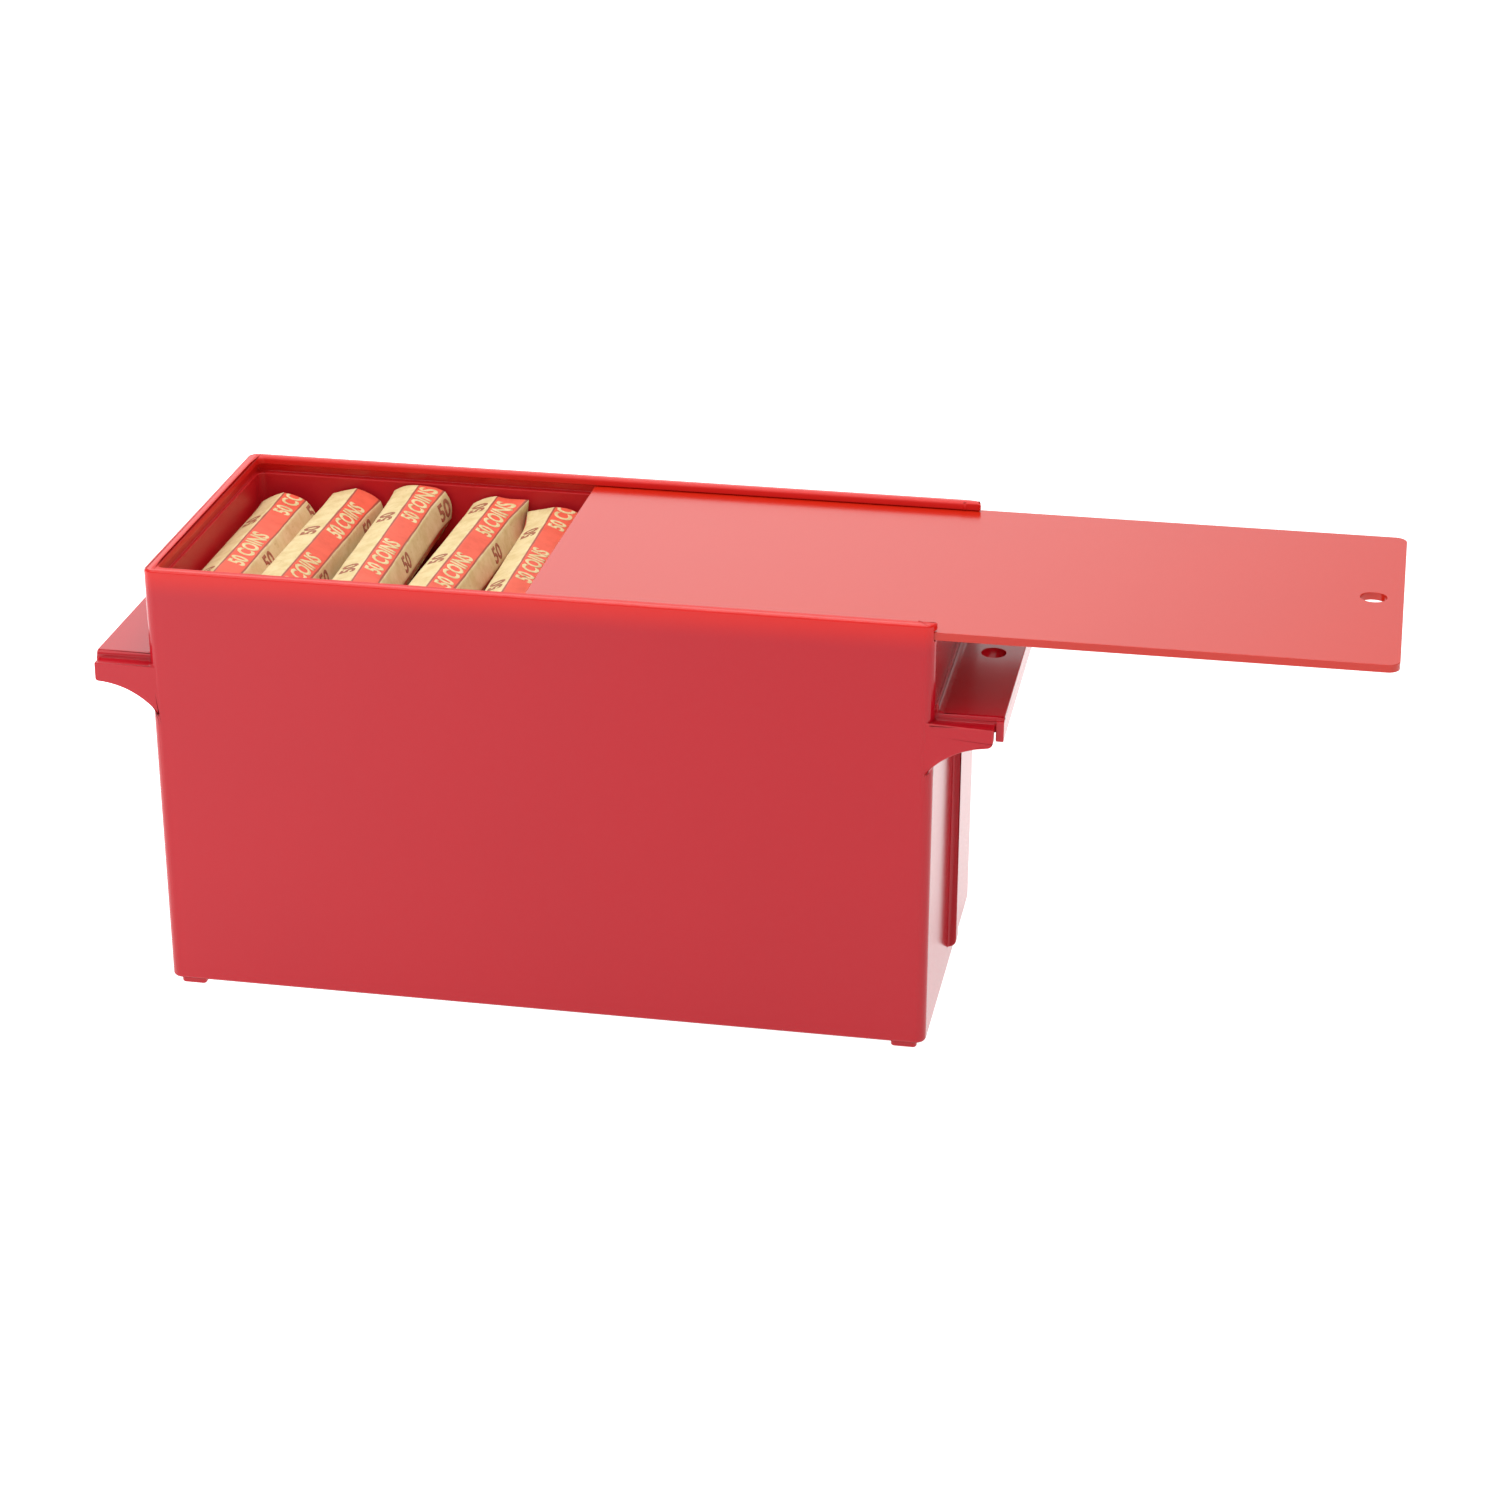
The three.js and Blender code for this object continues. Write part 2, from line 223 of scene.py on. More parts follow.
# Red moulded plastic, for the box and for the glossier lid
boxPlastic = {
    "base": (0.42, 0.003, 0.011, 1),
    "deep": (0.41, 0.003, 0.011, 1),
    # lighter edge colour: partly wear, partly a painted highlight along the edges
    "wornAndLitEdge": (0.70, 0.07, 0.06, 1),
    "rough": (0.14, 0.19),
    "scuffRough": 0.12,
    "wearAndHighlight": 0.25,
    "scuff": 0.2,
    "waveDepth": 0.02 * mm,
    "specular": 0.36,
}
lidPlastic = dict(
    boxPlastic,
    base=(0.49, 0.015, 0.004, 1),
    deep=(0.48, 0.014, 0.004, 1),
    # lighter edge colour: partly wear, partly a painted highlight along the edges
    wornAndLitEdge=(0.75, 0.12, 0.08, 1),
    rough=(0.2, 0.26),
    wearAndHighlight=0.1,
    scuff=0.08,
    waveDepth=0.015 * mm,
    specular=0.5,
)
# Painted glow near the rim: emission and a brighter red base colour high on the thin wall stand in for light
# coming through it; the inner faces near the rim are duller and get a weaker painted glow too
paintedRimGlow = {
    # base colour near the rim, part of the painted glow
    "color": (0.46, 0.004, 0.002, 1),
    "glow": (1.0, 0.02, 0.01, 1),
    "level": 0.17,
    "from": 131 * mm,
    "to": 141.2 * mm,
    "insideDullAndGlow": 0.3,
    "insideX": (-175.7 * mm, 62.2 * mm),
    "insideY": 52.9 * mm,
    "insideFrom": 112 * mm,
    "insideTo": 118 * mm,
    "soft": 0.5 * mm,
}


# 1 on the inner faces near the rim
def insideMask(tree, place, rim):
    left, right = rim["insideX"]
    half = (right - left) / 2
    offX = math2(tree, "ABSOLUTE", math2(tree, "SUBTRACT", place["X"], (left + right) / 2))
    alongX = remap(tree, offX, half, half - rim["soft"])
    alongY = remap(tree, math2(tree, "ABSOLUTE", place["Y"]), rim["insideY"], rim["insideY"] - rim["soft"])
    high = remap(tree, place["Z"], rim["insideFrom"], rim["insideTo"])
    return math2(tree, "MULTIPLY", math2(tree, "MULTIPLY", alongX, alongY), high)


# Paints the rim glow: emission and a tinted base colour high on the wall, plus extra roughness and a weaker
# painted glow on the inner faces
def paintRimGlow(tree, shader, color, rough, rim):
    place = separate(tree, objectPlace(tree))
    rimGlowHeight = remap(tree, place["Z"], rim["from"], rim["to"])
    inside = math2(tree, "MULTIPLY", insideMask(tree, place, rim), rim["insideDullAndGlow"])
    glow = math2(tree, "MULTIPLY", math2(tree, "MAXIMUM", rimGlowHeight, inside), rim["level"])
    tree.links.new(glow, shader.inputs["Emission Strength"])
    shader.inputs["Emission Color"].default_value = rim["glow"]
    return mixColor(tree, rimGlowHeight, color, rim["color"]), math2(tree, "ADD", rough, inside, clamp=True)


def makePlastic(name, look, rim=None):
    material, tree, shader = newMaterial(name)
    skin = useGroup(tree, mouldedSkin)
    wearAndHighlight = useGroup(tree, edgeWearAndHighlight, Amount=look["wearAndHighlight"])["Mask"]
    scuff = useGroup(tree, scuffs, Amount=look["scuff"])["Mask"]
    color = mixColor(tree, remap(tree, skin["Cloud"], 0.35, 0.7), look["base"], look["deep"])
    rough = remap(tree, skin["Grain"], 0.3, 0.7, *look["rough"])
    rough = math2(tree, "ADD", rough, math2(tree, "MULTIPLY", scuff, look["scuffRough"]))
    if rim:
        color, rough = paintRimGlow(tree, shader, color, rough, rim)
    # Edges take the lighter colour: partly wear, partly a painted edge highlight
    tree.links.new(mixColor(tree, wearAndHighlight, color, look["wornAndLitEdge"]), shader.inputs["Base Color"])
    tree.links.new(rough, shader.inputs["Roughness"])
    shader.inputs["Specular IOR Level"].default_value = look["specular"]
    bumpInto(tree, shader, skin["Height"], 0.5, look["waveDepth"])
    return material


boxFinish = makePlastic("redMouldedBox", boxPlastic, paintedRimGlow)
lidFinish = makePlastic("glossyRedLid", lidPlastic)

# Kraft coin wrapper with printed red stripes. Its UV runs once round the tube in U, metres along in V,
# and the pairs below are distances from the middle of a stripe, in shares of a pair of stripes.
wrapperPaper = {
    "kraft": (0.68, 0.55, 0.29, 1),
    "kraftDark": (0.57, 0.43, 0.19, 1),
    "red": (0.74, 0.10, 0.05, 1),
    "redDark": (0.64, 0.075, 0.035, 1),
    "fleck": (0.38, 0.15, 0.07, 1),
    # brown ink for the letters, also the colour of the painted crease shade line
    "brownInkAndCreaseShade": (0.27, 0.06, 0.035, 1),
    "pale": (0.85, 0.76, 0.55, 1),
    "pairs": 4,
    "wobble": 0.012,
    "printEnds": (0.245, 0.235),
    # a brown line just inside each red stripe's edge, where the paper folds: painted crease shade, drawn as
    # a printed line
    "creaseShadeLineStarts": (0.208, 0.218),
    "creaseShadeLineEnds": (0.25, 0.242),
    "creaseShadeLineStrength": 0.85,
    # a pale line right on each crease: partly rubbed paper, partly a painted crease highlight
    "creaseRubAndHighlightStarts": (0.236, 0.248),
    "creaseRubAndHighlightEnds": (0.264, 0.252),
    "creaseRubAndHighlight": 0.4,
    "rough": (0.72, 0.55),  # bare and printed
    "bump": 0.35,
    "fibreDepth": 0.08 * mm,
}


def kraftColor(tree, pulp, look):
    color = mixColor(tree, remap(tree, pulp["Pulp"], 0.3, 0.75), look["kraft"], look["kraftDark"])
    return mixColor(tree, math2(tree, "MULTIPLY", pulp["Fleck"], 0.35), color, look["fleck"])


def makeWrapperPaper(look):
    material, tree, shader = newMaterial("stripedKraftPaper")
    pulp = useGroup(tree, paperPulp)
    uv = addNode(tree, "ShaderNodeUVMap", {"uv_map": "wrap"}).outputs[0]
    around = separate(tree, uv)["X"]
    wobble = math2(tree, "MULTIPLY", math2(tree, "SUBTRACT", cloud(tree, uv, 60, 2), 0.5), look["wobble"])
    stripe = math2(tree, "FRACT", math2(tree, "MULTIPLY", math2(tree, "ADD", around, wobble), look["pairs"]))
    fromMiddle = math2(tree, "ABSOLUTE", math2(tree, "SUBTRACT", stripe, 0.25))
    printed = remap(tree, fromMiddle, *look["printEnds"])
    # Painted crease shade: a dark brown line along the inside of each red stripe's edge
    creaseShadeLine = math2(tree, "MULTIPLY", remap(tree, fromMiddle, *look["creaseShadeLineStarts"]),
                 remap(tree, fromMiddle, *look["creaseShadeLineEnds"]))
    # Pale line on the crease, broken up by noise: partly rubbed paper, partly a painted highlight
    creaseRubAndHighlight = math2(tree, "MULTIPLY", remap(tree, fromMiddle, *look["creaseRubAndHighlightStarts"]),
                   remap(tree, fromMiddle, *look["creaseRubAndHighlightEnds"]))
    creaseRubAndHighlight = math2(tree, "MULTIPLY", creaseRubAndHighlight, remap(tree, cloud(tree, uv, 420, 3), 0.4, 0.6))
    red = mixColor(tree, remap(tree, pulp["Pulp"], 0.3, 0.8), look["red"], look["redDark"])
    color = mixColor(tree, printed, kraftColor(tree, pulp, look), red)
    color = mixColor(tree, math2(tree, "MULTIPLY", creaseShadeLine, look["creaseShadeLineStrength"]), color, look["brownInkAndCreaseShade"])
    color = mixColor(tree, math2(tree, "MULTIPLY", creaseRubAndHighlight, look["creaseRubAndHighlight"]), color, look["pale"])
    tree.links.new(color, shader.inputs["Base Color"])
    tree.links.new(remap(tree, printed, 0, 1, *look["rough"]), shader.inputs["Roughness"])
    bumpInto(tree, shader, pulp["Height"], look["bump"], look["fibreDepth"])
    return material


# Letters are kraft where the red leaves them bare, or printed in the ink given
def makeLettering(name, look, ink=None):
    material, tree, shader = newMaterial(name)
    pulp = useGroup(tree, paperPulp)
    base = mixColor(tree, pulp["Pulp"], ink, look["fleck"]) if ink else kraftColor(tree, pulp, look)
    tree.links.new(base, shader.inputs["Base Color"])
    tree.links.new(remap(tree, pulp["Pulp"], 0.2, 0.8, 0.6, 0.75), shader.inputs["Roughness"])
    bumpInto(tree, shader, pulp["Height"], look["bump"], look["fibreDepth"])
    return material


wrapperFinish = makeWrapperPaper(wrapperPaper)
kraftLetters = makeLettering("bareKraftLetters", wrapperPaper)
brownLetters = makeLettering("brownInkLetters", wrapperPaper, wrapperPaper["brownInkAndCreaseShade"])

# Copper-plated coins
coinCopper = {"bright": (0.83, 0.42, 0.27, 1), "tarnish": (0.36, 0.17, 0.1, 1)}


def makeCopper(look):
    material, tree, shader = newMaterial("copperCoins")
    place = objectPlace(tree)
    tarnish = remap(tree, cloud(tree, place, 240, 5, 0.65, (1, 2.5, 1)), 0.42, 0.72)
    tree.links.new(mixColor(tree, tarnish, look["bright"], look["tarnish"]), shader.inputs["Base Color"])
    tree.links.new(remap(tree, tarnish, 0, 1, 0.26, 0.55), shader.inputs["Roughness"])
    shader.inputs["Metallic"].default_value = 1
    bumpInto(tree, shader, cloud(tree, place, 3000, 2), 0.2, 0.03 * mm)
    return material


copperFinish = makeCopper(coinCopper)
print("materials made")


def linkPiece(name, mesh, body, materials):
    piece = bpy.data.objects.new(name, mesh)
    scene.collection.objects.link(piece)
    if len(mesh.materials):
        mesh.materials.clear()
    for material in materials:
        mesh.materials.append(material)
    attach(piece, body)
    return piece


def addSoftEdges(piece, width, segments):
    bevel = piece.modifiers.new("softEdges", "BEVEL")
    bevel.width = width
    bevel.segments = segments
    bevel.limit_method = "WEIGHT"
    bevel.use_clamp_overlap = False
    bevel.miter_outer = "MITER_ARC"
    evenShading(piece)


# Flat faces stay flat up to their rounded edges
def evenShading(piece):
    even = piece.modifiers.new("evenShading", "WEIGHTED_NORMAL")
    even.weight = 100
    for face in piece.data.polygons:
        face.use_smooth = True


# Box: the moulding's own mesh, joined up, with every edge softened and the rim nearly half round
boxShape = {
    "rimEdge": 0.78 * mm,
    "edge": 0.32 * mm,
    "segments": 3,
    "sharpAbove": 25,  # degrees
    "weld": 0.02 * mm,
    "filletBelow": 120 * mm,
    "cuts": (81.5, 85.5, 89.5, 93.5, 100.5, 104.5, 112.5, 115.5),  # mm above the ground
}


def makeBoxMoulding(shape):
    mesh = nodes["box_body"].data.copy()
    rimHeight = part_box("box_body")[1].z
    work = bmesh.new()
    work.from_mesh(mesh)
    bmesh.ops.remove_doubles(work, verts=work.verts, dist=shape["weld"])
    # Level cuts keep the long side triangles from carrying a handle's rounded shading down the wall
    for height in shape["cuts"]:
        geometry = work.verts[:] + work.edges[:] + work.faces[:]
        bmesh.ops.bisect_plane(work, geom=geometry, plane_co=(0, 0, height * mm), plane_no=(0, 0, 1))
    weight = work.edges.layers.float.new("bevel_weight_edge")
    for edge in work.edges:
        if edge.is_manifold and edge.calc_face_angle() > math.radians(shape["sharpAbove"]):
            atRim = all(rimHeight - vert.co.z < shape["weld"] for vert in edge.verts)
            isFillet = not edge.is_convex and max(vert.co.z for vert in edge.verts) < shape["filletBelow"]
            edge[weight] = 1 if atRim or isFillet else shape["edge"] / shape["rimEdge"]
    work.to_mesh(mesh)
    work.free()
    piece = linkPiece("moulded_box", mesh, "box", [boxFinish])
    addSoftEdges(piece, shape["rimEdge"], shape["segments"])
    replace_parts(piece, "box_body")


makeBoxMoulding(boxShape)

# Lid: a flat sheet drawn as one outline with its seal hole, given a rounded edge
lidShape = {
    "corner": 3.6 * mm,
    "edge": 0.2 * mm,
    "edgeSteps": 2,
    "holeRadius": 4 * mm,
    "holeFromEnd": 8.9 * mm,
    "cornerPoints": 10,
    "holePoints": 40,
    "weld": 0.001 * mm,
}


def roundedOutline(halfX, halfY, radius, pointsPerCorner):
    points = []
    for quarter, (sx, sy) in enumerate(((1, 1), (-1, 1), (-1, -1), (1, -1))):
        for step in range(pointsPerCorner + 1):
            angle = math.pi / 2 * (quarter + step / pointsPerCorner)
            points.append((sx * (halfX - radius) + radius * math.cos(angle),
                           sy * (halfY - radius) + radius * math.sin(angle)))
    return points


def addOutline(curve, points):
    spline = curve.splines.new("POLY")
    spline.points.add(len(points) - 1)
    for point, (x, y) in zip(spline.points, points):
        point.co = (x, y, 0, 1)
    spline.use_cyclic_u = True


def meshFromCurve(curve):
    helper = bpy.data.objects.new("outlineHelper", curve)
    scene.collection.objects.link(helper)
    bpy.context.view_layer.update()
    mesh = bpy.data.meshes.new_from_object(helper.evaluated_get(bpy.context.evaluated_depsgraph_get()))
    bpy.data.objects.remove(helper)
    bpy.data.curves.remove(curve)
    return mesh


def makeLidSheet(shape):
    low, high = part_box("sliding_lid")
    size = high - low
    curve = bpy.data.curves.new("lidOutline", "CURVE")
    curve.dimensions = "2D"
    curve.fill_mode = "BOTH"
    curve.extrude = size.z / 2 - shape["edge"]
    curve.bevel_depth = shape["edge"]
    curve.bevel_resolution = shape["edgeSteps"]
    curve.offset = -shape["edge"]
    addOutline(curve, roundedOutline(size.x / 2, size.y / 2, shape["corner"], shape["cornerPoints"]))
    holeX = size.x / 2 - shape["holeFromEnd"]
    turns = [2 * math.pi * step / shape["holePoints"] for step in range(shape["holePoints"])]
    radius = shape["holeRadius"]
    addOutline(curve, [(holeX + radius * math.cos(turn), radius * math.sin(turn)) for turn in turns])
    mesh = meshFromCurve(curve)
    work = bmesh.new()
    work.from_mesh(mesh)
    bmesh.ops.remove_doubles(work, verts=work.verts, dist=shape["weld"])
    bmesh.ops.recalc_face_normals(work, faces=work.faces)
    bmesh.ops.translate(work, verts=work.verts, vec=(low + high) / 2)
    work.to_mesh(mesh)
    work.free()
    piece = linkPiece("lid_sheet", mesh, "lid", [lidFinish])
    evenShading(piece)
    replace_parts(piece, "sliding_lid")


makeLidSheet(lidShape)
print("box and lid made")

# Paper wrappers: eight flat facets between creases, red stripes on every second one
paperTube = {
    "columns": 16,  # points round the tube, a crease at every second one
    "facetHalf": 9.62 * mm,
    "creaseHalf": 10.34 * mm,
    "sharpness": 0.72,
    "thick": 0.16 * mm,
    "dent": 0.12 * mm,
    "flareLength": 13 * mm,
    "flareCurve": 1.5,
    "ragged": 0.5 * mm,
    "crumple": 0.6 * mm,
    "smoothing": 2,
    "rowsAlong": 12,
    "endShares": (0, 0.012, 0.035, 0.07, 0.11, 0.15),
    "ceiling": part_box("sliding_lid")[0].z - 0.4 * mm,
}
lowerTube = dict(
    paperTube,
    creaseHalf=10.12 * mm,
    smoothing=1,
    rowsAlong=2,
    endShares=(0, 0.04, 0.12),
    flareLength=10 * mm,
)
# The five rolls in the open: the red facet's angle from the top, the folds that stand out at the far end
# as (angle, reach in mm, width in degrees), where the print repeats along the tube, and the mark's shift
# from it, both in mm
openRolls = {
    0: {"turn": 17, "folds": ((61, 0.7, 30), (-30, 0.5, 25)), "print": -5.8, "mark": 2.5},
    1: {"turn": 32, "folds": ((56, 2.0, 34), (-60, 0.6, 30)), "print": 19.6, "mark": 9},
    2: {"turn": 25, "folds": ((58, 3.1, 38), (-20, 0.9, 25)), "print": 28.1, "mark": 10},
    3: {"turn": 25, "folds": ((50, 5.6, 17), (-15, 0.5, 30)), "print": 26.3, "mark": -15},
    4: {"turn": 20, "folds": ((-51, 2.6, 24), (36, 1.9, 28)), "print": 40.6, "mark": 5},
}
# How far the same things go in the covered rolls, which are picked by place
coveredRolls = {"turn": 45, "foldAngle": 180, "print": 40, "mark": 8}


def rollEnds(name):
    points = [v.co for v in nodes[name].data.vertices]
    middle = sum(p.y for p in points) / len(points)
    near = [p for p in points if p.y < middle]
    far = [p for p in points if p.y >= middle]
    return sum(near, Vector()) / len(near), sum(far, Vector()) / len(far)


def rollLook(index, seed):
    if seed == 0 and index in openRolls:
        return openRolls[index]
    pick = noise.cell_vector(Vector((index * 3.7 + 0.5, seed * 5.3 + 0.5, 1.5)))
    first = (coveredRolls["foldAngle"] * pick.z, 0.5 + 0.8 * abs(pick.y), 30)
    second = (coveredRolls["foldAngle"] * pick.x, 0.7, 25)
    turn, shift = coveredRolls["turn"] * pick.x, coveredRolls["print"] * pick.x
    return {"turn": turn, "folds": (first, second), "print": shift, "mark": coveredRolls["mark"]}


def tubePoint(near, far, share, column, look, tube, seed):
    axis = (far - near).normalized()
    length = (far - near).length
    step = 360 / tube["columns"]
    angle = look["turn"] + step * (column - 1)
    radius = tube["facetHalf"] if column % 2 else tube["creaseHalf"]
    direction = math.radians(angle)
    out = Vector((math.sin(direction), 0, math.cos(direction)))
    radius += tube["dent"] * noise.noise(Vector((out.x * 2 + seed * 9.1, share * 8, out.z * 2)))
    toEnd = min(share, 1 - share) * length
    opening = max(0.0, 1 - toEnd / tube["flareLength"]) ** tube["flareCurve"]
    bulge = tube["crumple"] * noise.noise(Vector((out.x * 3, seed * 3.3 + share, out.z * 3)))
    for foldAngle, reach, width in look["folds"]:
        apart = (angle - foldAngle + 180) % 360 - 180
        bulge += (reach if share > 0.5 else 0.5 * reach) * mm * math.exp(-(apart / width) ** 2)
    place = near.lerp(far, share) + (radius + opening * bulge) * out
    if share in (0, 1):
        place += axis * tube["ragged"] * noise.noise(Vector((out.x * 4, seed * 2.7 + share, out.z * 4)))
    place.z = min(place.z, tube["ceiling"])
    return place


# Where the rings of points lie: close together at both ends, evenly spaced between
def ringShares(tube):
    ends = tube["endShares"]
    gap = (1 - 2 * ends[-1]) / (tube["rowsAlong"] + 1)
    between = [ends[-1] + gap * (step + 1) for step in range(tube["rowsAlong"])]
    return list(ends) + between + [1 - share for share in reversed(ends)]


def addTube(work, near, far, look, tube, seed):
    layer = work.loops.layers.uv.get("wrap") or work.loops.layers.uv.new("wrap")
    creaseName = "crease_edge"
    crease = work.edges.layers.float.get(creaseName) or work.edges.layers.float.new(creaseName)
    shares = ringShares(tube)
    around = tube["columns"]
    rings = []
    for share in shares:
        points = [tubePoint(near, far, share, column, look, tube, seed) for column in range(around)]
        rings.append([work.verts.new(point) for point in points])
    for row, (ring, following) in enumerate(zip(rings, rings[1:])):
        for column in range(around):
            after = (column + 1) % around
            face = work.faces.new((ring[column], following[column], following[after], ring[after]))
            face.smooth = True
            corners = ((column, row), (column, row + 1), (column + 1, row + 1), (column + 1, row))
            for loop, (u, v) in zip(face.loops, corners):
                loop[layer].uv = (u / around, shares[v] * (far - near).length)
            if column % 2 == 0:
                work.edges.get((ring[column], following[column]))[crease] = tube["sharpness"]


def finishTubes(name, work, tube):
    bmesh.ops.recalc_face_normals(work, faces=work.faces)
    mesh = bpy.data.meshes.new(name)
    work.to_mesh(mesh)
    work.free()
    piece = linkPiece(name, mesh, "box", [wrapperFinish])
    thick = piece.modifiers.new("paperThickness", "SOLIDIFY")
    thick.thickness = tube["thick"]
    thick.offset = -1
    smooth = piece.modifiers.new("paperSmooth", "SUBSURF")
    smooth.levels = smooth.render_levels = tube["smoothing"]
    return piece


def makeTube(name, near, far, look, tube, seed):
    work = bmesh.new()
    addTube(work, near, far, look, tube, seed)
    return finishTubes(name, work, tube)


# Lettering: text made a mesh, clipped at the paper's ends and laid on the facet
printing = {
    "facets": 8,
    "pitch": 46 * mm,
    "repeats": (-2, -1, 0, 1, 2),
    "text": "50 COINS",
    "textLength": 27 * mm,
    "textHeight": 5.5 * mm,
    "mark": "50",
    "markLength": 7.6 * mm,
    "markHeight": 5.4 * mm,
    "bold": 0.032,
    "roundness": 3,
    "slice": 0.9 * mm,
    "lift": 0.05 * mm,
    "ink": 0.03 * mm,
    "margin": 0.5 * mm,
    "reach": 20 * mm,
    "lowestAngle": 115,  # degrees from the top
}


def letterShape(text, length, height):
    curve = bpy.data.curves.new("letters", "FONT")
    curve.body = text
    curve.resolution_u = printing["roundness"]
    curve.offset = printing["bold"]
    curve.fill_mode = "FRONT"
    mesh = meshFromCurve(curve)
    points = [v.co for v in mesh.vertices]
    for axis, span in ((0, length), (1, height)):
        low, high = min(p[axis] for p in points), max(p[axis] for p in points)
        for p in points:
            p[axis] = ((p[axis] - low) / (high - low) - 0.5) * span
    work = bmesh.new()
    work.from_mesh(mesh)
    for axis, span in ((0, length), (1, height)):
        normal = Vector((axis == 0, axis == 1, 0))
        count = round(span / printing["slice"])
        for step in range(1, count):
            place = normal * (step / count - 0.5) * span
            geometry = work.verts[:] + work.edges[:] + work.faces[:]
            bmesh.ops.bisect_plane(work, geom=geometry, plane_co=place, plane_no=normal)
    work.to_mesh(mesh)
    work.free()
    return mesh


textShape = letterShape(printing["text"], printing["textLength"], printing["textHeight"])
markShape = letterShape(printing["mark"], printing["markLength"], printing["markHeight"])


# Where the print stands along a facet: every second facet of a kind starts half a pitch on
def printCentres(facet, look, limit):
    pitch = printing["pitch"]
    isRed = facet % 2 == 0
    shift = look["print"] * mm + (0 if isRed else look["mark"] * mm) + (pitch / 2 if facet % 4 > 1 else 0)
    first = (shift + pitch / 2) % pitch - pitch / 2
    centres = [first + repeat * pitch for repeat in printing["repeats"]]
    return [centre for centre in centres if abs(centre) <= limit + printing["textLength"] / 2]


def clippedLetters(shape, centre, limit):
    part = bmesh.new()
    part.from_mesh(shape)
    bmesh.ops.translate(part, verts=part.verts, vec=(centre, 0, 0))
    for side in (-1, 1):
        geometry = part.verts[:] + part.edges[:] + part.faces[:]
        cut = {"plane_co": (side * limit, 0, 0), "plane_no": (side, 0, 0)}
        bmesh.ops.bisect_plane(part, geom=geometry, clear_outer=True, **cut)
    return part


def layOnPaper(part, surface, middle, axis, angle, tube):
    for vertex in part.verts:
        turned = math.radians(angle) - vertex.co.y / tube["facetHalf"]
        out = Vector((math.sin(turned), 0, math.cos(turned)))
        start = middle + axis * vertex.co.x + out * printing["reach"]
        hit = surface.ray_cast(start, -out)[0] or start - out * printing["reach"] / 2
        vertex.co = hit + out * printing["lift"]


def joinInto(work, part):
    mesh = bpy.data.meshes.new("part")
    part.to_mesh(mesh)
    work.from_mesh(mesh)
    bpy.data.meshes.remove(mesh)


def printRoll(name, tubePiece, near, far, look, tube):
    bpy.context.view_layer.update()
    surface = BVHTree.FromObject(tubePiece, bpy.context.evaluated_depsgraph_get())
    axis = (far - near).normalized()
    middle = near.lerp(far, 0.5)
    limit = (far - near).length / 2 - printing["margin"]
    work = bmesh.new()
    for facet in range(printing["facets"]):
        angle = look["turn"] + facet * 360 / printing["facets"]
        if abs((angle + 180) % 360 - 180) > printing["lowestAngle"]:
            continue
        isRed = facet % 2 == 0
        for centre in printCentres(facet, look, limit):
            part = clippedLetters(textShape if isRed else markShape, centre, limit)
            layOnPaper(part, surface, middle, axis, angle, tube)
            for face in part.faces:
                face.material_index = 0 if isRed else 1
            joinInto(work, part)
            part.free()
    mesh = bpy.data.meshes.new(name)
    work.to_mesh(mesh)
    work.free()
    piece = linkPiece(name, mesh, "box", [kraftLetters, brownLetters])
    ink = piece.modifiers.new("inkThickness", "SOLIDIFY")
    ink.thickness = printing["ink"]
    ink.offset = -1


# Coins: one turned profile for the whole stack, a raised rim at each end face
coinShape = {
    "count": 50,
    "shown": 50,
    "rimWidth": 0.9 * mm,
    "rimDepth": 0.12 * mm,
    "rimSlope": 0.1 * mm,
    "edge": 0.16 * mm,
    "steps": 48,
    "weld": 0.005 * mm,
    "sharpAbove": 30,  # degrees
}
coveredCoins = dict(coinShape, shown=4, steps=24)  # only the coins next to the ends are cut one by one


def stackProfile(radius, length, shape):
    each = length / shape["count"]
    edge = shape["edge"]
    inner = radius - shape["rimWidth"]
    dish = -length / 2 + shape["rimDepth"]
    half = [(0, dish), (inner - shape["rimSlope"], dish), (inner, -length / 2)]
    for coin in range(shape["shown"] // 2):
        start = -length / 2 + coin * each
        half += [(radius - edge, start), (radius, start + edge), (radius, start + each - edge)]
    half.append((radius - edge, half[-1][1] + edge))
    return half + [(x, -z) for x, z in reversed(half) if (x, -z) != half[-1]]


def coinStackMesh(near, far, radius, shape):
    work = bmesh.new()
    verts = [work.verts.new((x, 0, -z)) for x, z in stackProfile(radius, (far - near).length, shape)]
    for a, b in zip(verts, verts[1:]):
        work.edges.new((a, b))
    mesh = bpy.data.meshes.new("stackProfile")
    work.to_mesh(mesh)
    work.free()
    helper = bpy.data.objects.new("turningHelper", mesh)
    scene.collection.objects.link(helper)
    screw = helper.modifiers.new("turned", "SCREW")
    screw.steps = screw.render_steps = shape["steps"]
    screw.use_merge_vertices = True
    screw.merge_threshold = shape["weld"]
    screw.use_normal_calculate = True
    bpy.context.view_layer.update()
    turned = bpy.data.meshes.new_from_object(helper.evaluated_get(bpy.context.evaluated_depsgraph_get()))
    bpy.data.objects.remove(helper)
    lying = (far - near).to_track_quat("Z", "Y").to_matrix().to_4x4()
    turned.transform(Matrix.Translation((near + far) / 2) @ lying)
    return turned


def makeCoins(name, mesh):
    for face in mesh.polygons:
        face.use_smooth = True
    mesh.set_sharp_from_angle(angle=math.radians(coinShape["sharpAbove"]))
    mesh.name = name
    return linkPiece(name, mesh, "box", [copperFinish])


def insetEnds(near, far, depth):
    axis = (far - near).normalized()
    return near + axis * depth, far - axis * depth


topRolls = 11

